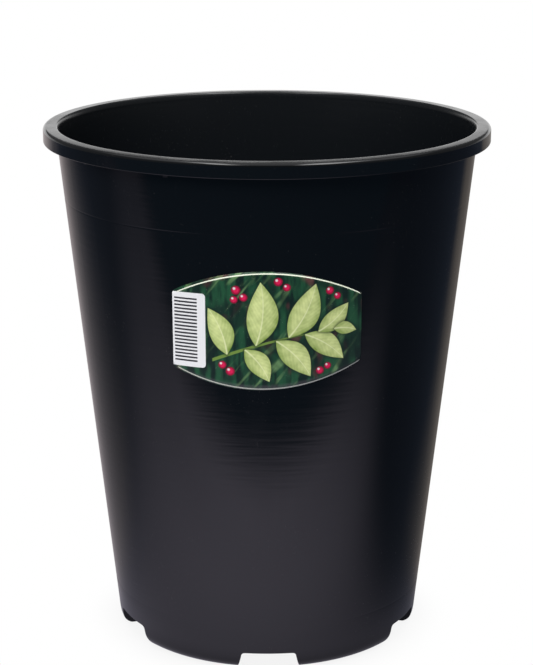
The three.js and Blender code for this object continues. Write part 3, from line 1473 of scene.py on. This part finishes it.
@dataclass(frozen=True)
class FloorGlow:
    """Light that the pale floor throws into the pot's gloss, in metres about the pot's axis.

    A pool of light lies in front of the pot and fades to both sides, the two back corners of the
    floor are lit, and a dim strip lies beyond the floor's front edge.
    """

    pool_x: float = -0.033
    left_reach: float = 0.22
    right_reach: Pair = (0.18, 0.071)
    narrowing: Pair = (-0.17, -0.026)
    fading: Pair = (-0.13, 0.06)
    faded: float = 0.1
    near_fading: Pair = (-0.26, -0.187)
    near_faded: float = 0.28
    back: Pair = (-0.02, 0.05)
    back_slope: float = 0.78
    left_wedge: Pair = (-0.24, 0.48)
    right_wedge: Pair = (0.01, 0.2)
    far: Pair = (0.75, 1.3)
    far_light: float = 0.14
    horizon: Pair = (1.6, 3.0)
    horizon_light: float = 0.6
    front_edge: Pair = (-0.285, -0.225)
    contact: Pair = (0.062, 0.080)
    contact_shade: float = 0.5
    contact_colour: Colour = (0.13, 0.13, 0.14, 1.0)
    pool_colour: Colour = (0.83, 0.75, 0.90, 1.0)
    left_colour: Colour = (0.45, 0.40, 0.40, 1.0)
    right_colour: Colour = (0.20, 0.18, 0.165, 1.0)
    base_colour: Colour = (0.045, 0.058, 0.086, 1.0)
    beyond_colour: Colour = (0.044, 0.072, 0.107, 1.0)

    def colour(self, desk: Desk) -> Socket:
        """Lay out the nodes of the light's colour over the floor.

        Args:
            desk: Desk of the floor's material.

        Returns:
            The colour.
        """
        x, y, _ = desk.parts(desk.node("NewGeometry").outputs["Position"])
        off = desk.math("SUBTRACT", x, self.pool_x)
        left_ratio = desk.math("DIVIDE", off, self.left_reach)
        left = desk.math("DIVIDE", 1.0, desk.math("MULTIPLY_ADD", left_ratio, left_ratio, 1.0))
        right_ratio = desk.math("DIVIDE", off, desk.ramp(y, *self.narrowing, *self.right_reach))
        square = desk.times(right_ratio, right_ratio)
        right = desk.math("EXPONENT", desk.times(square, -0.5))
        on_right = desk.math("GREATER_THAN", off, 0.0)
        pool = desk.times(desk.ramp(y, *self.fading, 1.0, self.faded),
                          desk.ramp(y, *self.near_fading, self.near_faded, 1.0))
        pool = desk.times(pool, desk.ramp(on_right, 0.0, 1.0, left, right))
        behind = desk.ramp(y, *self.back)
        spread = desk.math("MULTIPLY_ADD", y, -self.back_slope, desk.math("ABSOLUTE", x))
        right_half = desk.math("GREATER_THAN", x, 0.0)
        halves = []
        for wedge, colour in ((self.left_wedge, self.left_colour),
                              (self.right_wedge, self.right_colour)):
            share = desk.times(behind, desk.ramp(spread, *wedge, 1.0, 0.0))
            halves.append(desk.mix(share, self.base_colour, colour))
        lit = desk.mix(right_half, *halves)
        lit = desk.mix(pool, lit, self.pool_colour, "ADD")
        lit = desk.mix(desk.ramp(y, *self.far, 0.0, self.far_light), lit, grey(1.0), "ADD")
        lit = desk.mix(desk.ramp(y, *self.horizon, 0.0, self.horizon_light), lit, grey(1.0), "ADD")
        lit = desk.mix(desk.ramp(y, *self.front_edge), self.beyond_colour, lit)
        span = desk.span(desk.joined(x, y))
        shade = desk.ramp(span, *self.contact, self.contact_shade, 0.0)
        return desk.mix(shade, lit, self.contact_colour)


@dataclass
class Studio:
    """The pale floor, the soft lights and the camera."""

    floor_reach: float = 6.0
    glow: FloorGlow = field(default_factory=FloorGlow)
    camera_place: Triple = (-0.00022, -0.8586, 0.3655)
    camera_tilt: float = 74.683
    lens: float = 110.06
    sensor: float = 36.0
    target: Triple = (0.0, 0.0, 0.13)
    shade_reach: float = 0.02
    shade_light: float = 0.88
    shade_samples: int = 8
    backdrop_top: Pair = (0.170, 0.195)
    backdrop_front: Pair = (0.55, 0.95)
    room_light: float = 0.14
    near_light: float = 0.07
    near_limits: Pair = (-0.95, -0.7)
    top_light: float = 0.6
    top_limits: Pair = (0.62, 0.8)
    side_light: float = 6.0
    side_skew: float = -0.1
    side_start: Pair = (0.17, 0.27)
    side_end: Pair = (0.37, 0.46)
    side_front: Pair = (-0.05, 0.2)
    key_place: Triple = (-0.45, -1.0, 0.95)
    key_size: float = 0.6
    key_power: float = 15.0

    def camera(self) -> None:
        """Set the camera at the photograph's viewing angle."""
        data = bpy.data.cameras.new("camera")
        data.lens = self.lens
        data.sensor_width = self.sensor
        camera = bpy.data.objects.new("camera", data)
        camera.location = self.camera_place
        camera.rotation_euler = (math.radians(self.camera_tilt), 0, 0)
        bpy.context.scene.collection.objects.link(camera)
        bpy.context.scene.camera = camera

    def floor(self) -> None:
        """Lay the pale floor, pure white to the eye but for the soft shade close round the pot."""
        draft = Draft()
        reach = self.floor_reach
        corners = [Vector((x * reach, y * reach, 0)) for x, y in ((-1, -1), (1, -1), (1, 1), (-1, 1))]
        draft.mesh.faces.new(draft.points(corners))
        floor = draft.finished("studio_floor")
        material = bpy.data.materials.new("studio_floor")
        material.use_nodes = True
        tree = material.node_tree
        desk = Desk(tree)
        tree.nodes.remove(tree.nodes["Principled BSDF"])
        shade = desk.node("AmbientOcclusion", samples=self.shade_samples)
        shade.inputs["Distance"].default_value = self.shade_reach
        seen = desk.ramp(shade.outputs["AO"], 0.0, 1.0, self.shade_light, 1.0)
        glow = desk.node("Emission")
        eye = desk.node("LightPath").outputs["Is Camera Ray"]
        white = desk.mix(seen, grey(0.0), grey(1.0))
        desk.feed(glow.inputs["Color"], desk.mix(eye, self.glow.colour(desk), white))
        desk.feed(tree.nodes["Material Output"].inputs["Surface"], glow.outputs[0])
        floor.data.materials.append(material)

    def world(self) -> None:
        """Set a white surround for the eye, with a low backdrop and two lights above for the gloss."""
        world = bpy.data.worlds.new("studio")
        world.use_nodes = True
        tree = world.node_tree
        desk = Desk(tree)
        x, y, z = desk.parts(desk.node("TexCoord").outputs["Generated"])
        low_down = desk.ramp(z, *self.backdrop_top, 1.0, 0.0)
        backdrop = desk.times(desk.ramp(y, *self.backdrop_front), low_down)
        aside = desk.math("ABSOLUTE", x)
        skewed = desk.math("MULTIPLY_ADD", x, self.side_skew, aside)
        far_aside = desk.ramp(skewed, *self.side_end, 1.0, 0.0)
        sides = desk.times(desk.ramp(aside, *self.side_start), far_aside)
        sides = desk.times(sides, desk.ramp(y, *self.side_front, 1.0, 0.0))
        overhead = desk.math("MULTIPLY_ADD", sides, self.side_light, self.top_light)
        overhead = desk.times(desk.ramp(z, *self.top_limits), overhead)
        room = desk.ramp(y, *self.near_limits, self.near_light, self.room_light)
        glow = desk.math("MULTIPLY_ADD", backdrop, 1.0 - self.room_light, room)
        glow = desk.math("ADD", overhead, glow)
        eye = desk.node("LightPath").outputs["Is Camera Ray"]
        both = desk.node("Mix", data_type="FLOAT")
        desk.feed(both.inputs[0], eye)
        desk.feed(both.inputs[2], glow)
        desk.feed(both.inputs[3], 1.0)
        desk.feed(tree.nodes["Background"].inputs["Color"], grey(1.0))
        desk.feed(tree.nodes["Background"].inputs["Strength"], both.outputs[0])
        bpy.context.scene.world = world
        bpy.context.scene.view_settings.view_transform = "Standard"

    def softbox(self, name: str, place: Triple, size: float, power: float) -> None:
        """Hang a square softbox that faces the pot, for its soft light alone and not its gleam.

        Args:
            name: Name of the light.
            place: Where it hangs.
            size: Length of its sides.
            power: Its power, in watts.
        """
        data = bpy.data.lights.new(name, "AREA")
        data.shape = "SQUARE"
        data.size = size
        data.energy = power
        light = bpy.data.objects.new(name, data)
        light.location = place
        light.visible_glossy = False
        away = Vector(place) - Vector(self.target)
        light.rotation_euler = away.to_track_quat("Z", "Y").to_euler()
        bpy.context.scene.collection.objects.link(light)

    def build(self) -> None:
        """Set up the whole studio."""
        self.camera()
        self.floor()
        self.world()
        self.softbox("key_softbox", self.key_place, self.key_size, self.key_power)


def main() -> None:
    """Build the object's pieces and the studio in order."""
    logging.basicConfig(level=logging.INFO, format="%(message)s")
    Studio().build()
    pot = NurseryPot()
    pot.build()
    FilmLabel(pot).build()


if __name__ == "__main__":
    main()
